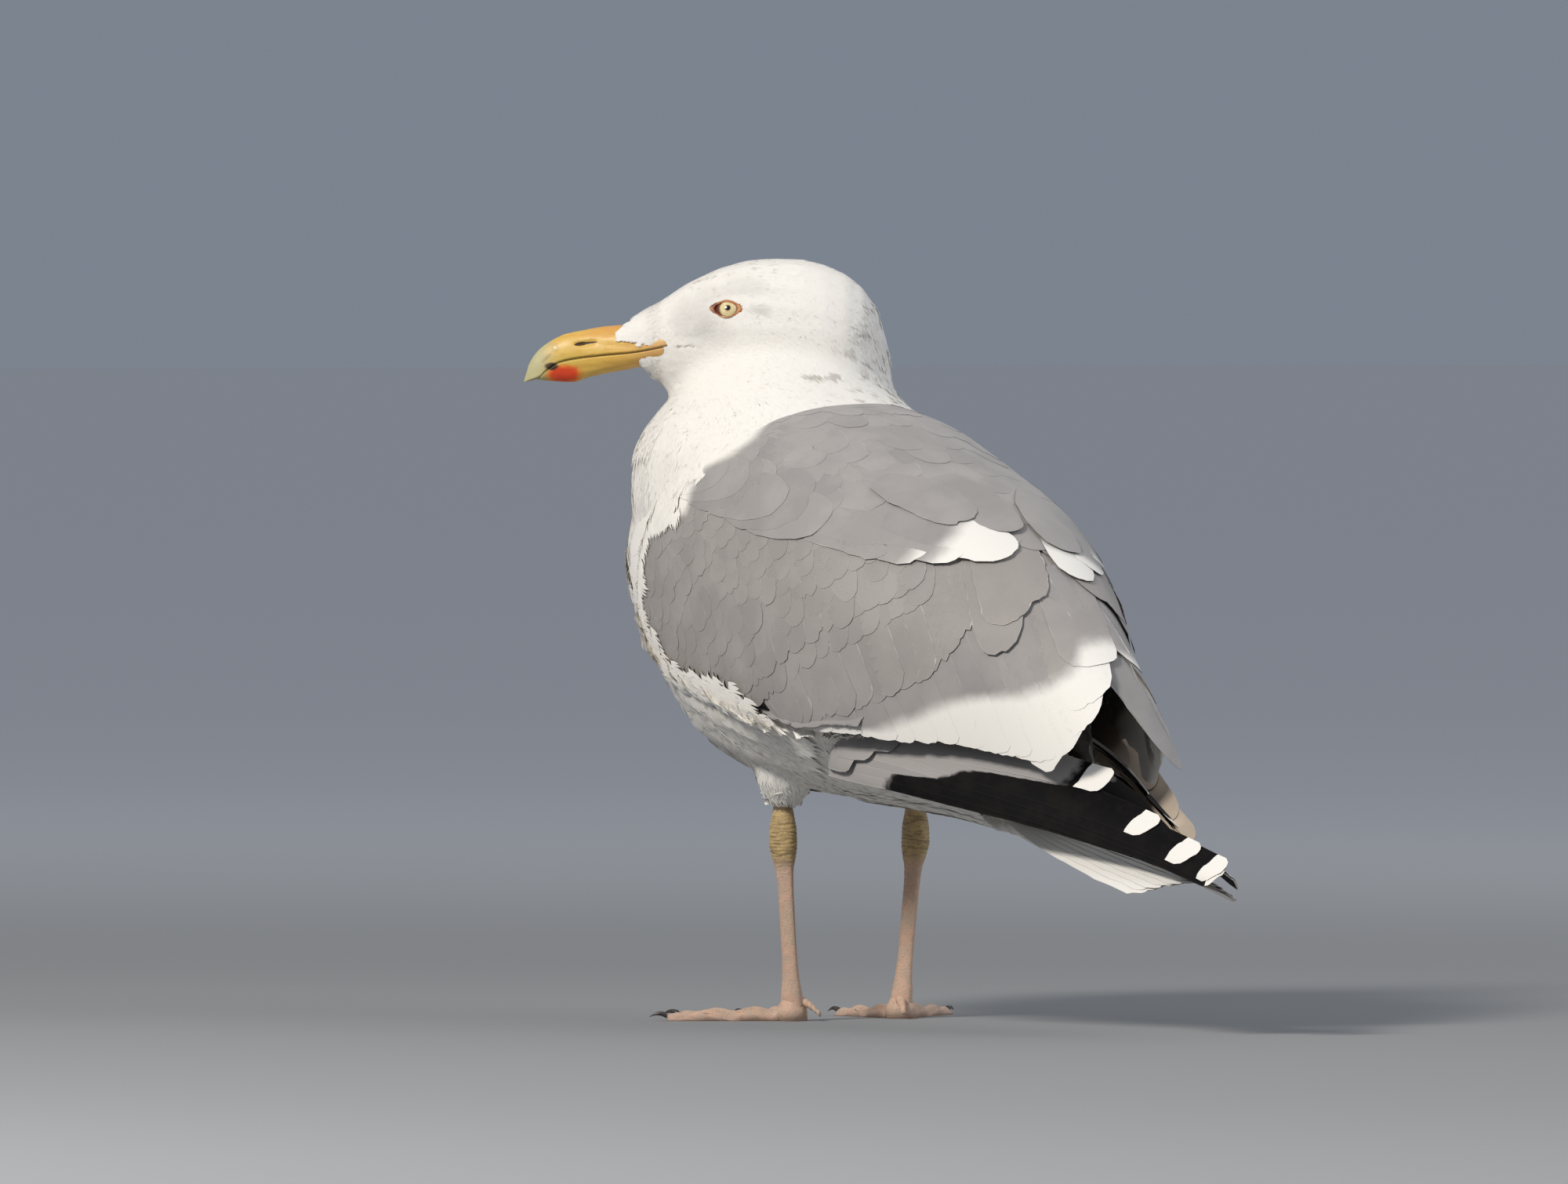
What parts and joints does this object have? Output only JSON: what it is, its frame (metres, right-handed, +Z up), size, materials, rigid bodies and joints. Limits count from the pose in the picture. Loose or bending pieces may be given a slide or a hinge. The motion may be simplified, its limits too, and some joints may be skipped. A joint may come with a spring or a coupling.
{
  "type": "standing gull model",
  "caption": "Life-size standing gull in adult plumage, with folded wings, closed tail and head turned to its left, resting on two webbed feet.",
  "frame": {"origin": "on the floor, under the middle of the whole bird's bounding box", "axes": "-Y is the way the breast faces and +Y runs back to the tail, +X is the bird's own left, +Z is up"},
  "size_m": [0.176, 0.4034, 0.3253],
  "materials": {
    "body_plumage": "soft white feathers over flesh; dense as flesh",
    "white_feathers": "matt white feathers",
    "grey_feathers": "matt mid-grey feathers",
    "black_primaries": "black feathers with white tips",
    "bill_horn": "satin yellow horn with a red spot",
    "iris": "wet, pale yellow",
    "leg_skin": "dull scaled skin, flesh pink",
    "claw_horn": "satin black horn"
  },
  "bodies": {
    "root": {"trunk": "body_plumage", "neck": "body_plumage", "head": "body_plumage", "thigh_left": "body_plumage", "thigh_right": "body_plumage", "rump": "white_feathers", "tail": "white_feathers", "mantle": "grey_feathers", "wing_left": "grey_feathers", "wing_right": "grey_feathers", "tertials_left": "grey_feathers", "tertials_right": "grey_feathers", "primaries_left": "black_primaries", "primaries_right": "black_primaries", "bill_upper": "bill_horn", "bill_lower": "bill_horn", "eye_left": "iris", "eye_right": "iris", "shank_left": "leg_skin", "shank_right": "leg_skin", "foot_left": "leg_skin", "foot_right": "leg_skin", "hind_toe_left": "leg_skin", "hind_toe_right": "leg_skin", "claw_left_inner": "claw_horn", "claw_left_middle": "claw_horn", "claw_left_outer": "claw_horn", "claw_right_inner": "claw_horn", "claw_right_middle": "claw_horn", "claw_right_outer": "claw_horn"}
  },
  "joints": []
}
